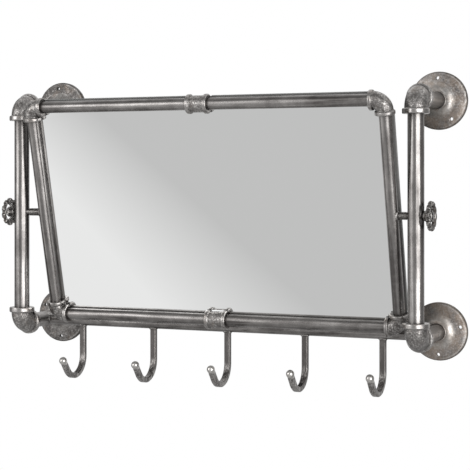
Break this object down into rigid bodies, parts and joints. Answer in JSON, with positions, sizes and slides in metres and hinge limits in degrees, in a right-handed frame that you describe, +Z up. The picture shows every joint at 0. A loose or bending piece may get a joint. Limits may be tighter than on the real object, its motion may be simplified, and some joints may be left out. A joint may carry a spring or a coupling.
{
  "type": "tilting wall mirror",
  "caption": "Wide mirror in a pipe frame that tilts between wall brackets with small handwheels, above a rail of J-shaped hooks.",
  "frame": {"origin": "on the wall plane, midway between the wall plates", "axes": "+X right, -Y toward the room, +Y into the wall, +Z up"},
  "size_m": [0.772, 0.1974, 0.505],
  "materials": {
    "plate": "cast, worn bright on the edges",
    "nipple": "satin",
    "bracket_elbow": "cast, mottled, worn bright on the beads",
    "bracket_pipe": "brushed lengthwise",
    "rail": "satin",
    "hook": "satin, welded",
    "frame_elbow": "cast, mottled",
    "frame_pipe": "brushed lengthwise",
    "coupling": "cast, worn bright on the beads",
    "glass": "polished",
    "panel": "board painted grey",
    "rod": "satin",
    "nut": "blackened",
    "handwheel": "cast, dark"
  },
  "bodies": {
    "wall_bracket": {"plate_top_left": "plate", "plate_top_right": "plate", "plate_bottom_left": "plate", "plate_bottom_right": "plate", "nipple_top_left": "nipple", "nipple_top_right": "nipple", "nipple_bottom_left": "nipple", "nipple_bottom_right": "nipple", "elbow_top_left": "bracket_elbow", "elbow_top_right": "bracket_elbow", "elbow_bottom_left": "bracket_elbow", "elbow_bottom_right": "bracket_elbow", "bracket_pipe_left": "bracket_pipe", "bracket_pipe_right": "bracket_pipe", "hook_rail": "rail", "hook_1": "hook", "hook_2": "hook", "hook_3": "hook", "hook_4": "hook", "hook_5": "hook"},
    "mirror_frame": {"frame_elbow_top_left": "frame_elbow", "frame_elbow_top_right": "frame_elbow", "frame_elbow_bottom_left": "frame_elbow", "frame_elbow_bottom_right": "frame_elbow", "side_pipe_left": "frame_pipe", "side_pipe_right": "frame_pipe", "top_pipe_left": "frame_pipe", "top_pipe_right": "frame_pipe", "bottom_pipe_left": "frame_pipe", "bottom_pipe_right": "frame_pipe", "coupling_top": "coupling", "coupling_bottom": "coupling", "mirror_glass": "glass", "back_panel": "panel", "pivot_rod_left": "rod", "pivot_rod_right": "rod", "rod_nut_left": "nut", "rod_nut_right": "nut"},
    "handwheel_left": {"handwheel_left": "handwheel"},
    "handwheel_right": {"handwheel_right": "handwheel"}
  },
  "joints": [
    {"name": "frame_tilt", "type": "hinge", "parent": "wall_bracket", "child": "mirror_frame", "pos_m": [0.0035, -0.139, 0.0035], "axis": [1, 0, 0], "range_deg": [-52, 6]},
    {"name": "handwheel_left_turn", "type": "hinge", "parent": "mirror_frame", "child": "handwheel_left", "pos_m": [-0.365, -0.139, 0.0035], "axis": [1, 0, 0], "continuous": true},
    {"name": "handwheel_right_turn", "type": "hinge", "parent": "mirror_frame", "child": "handwheel_right", "pos_m": [0.365, -0.139, 0.0035], "axis": [1, 0, 0], "continuous": true}
  ]
}
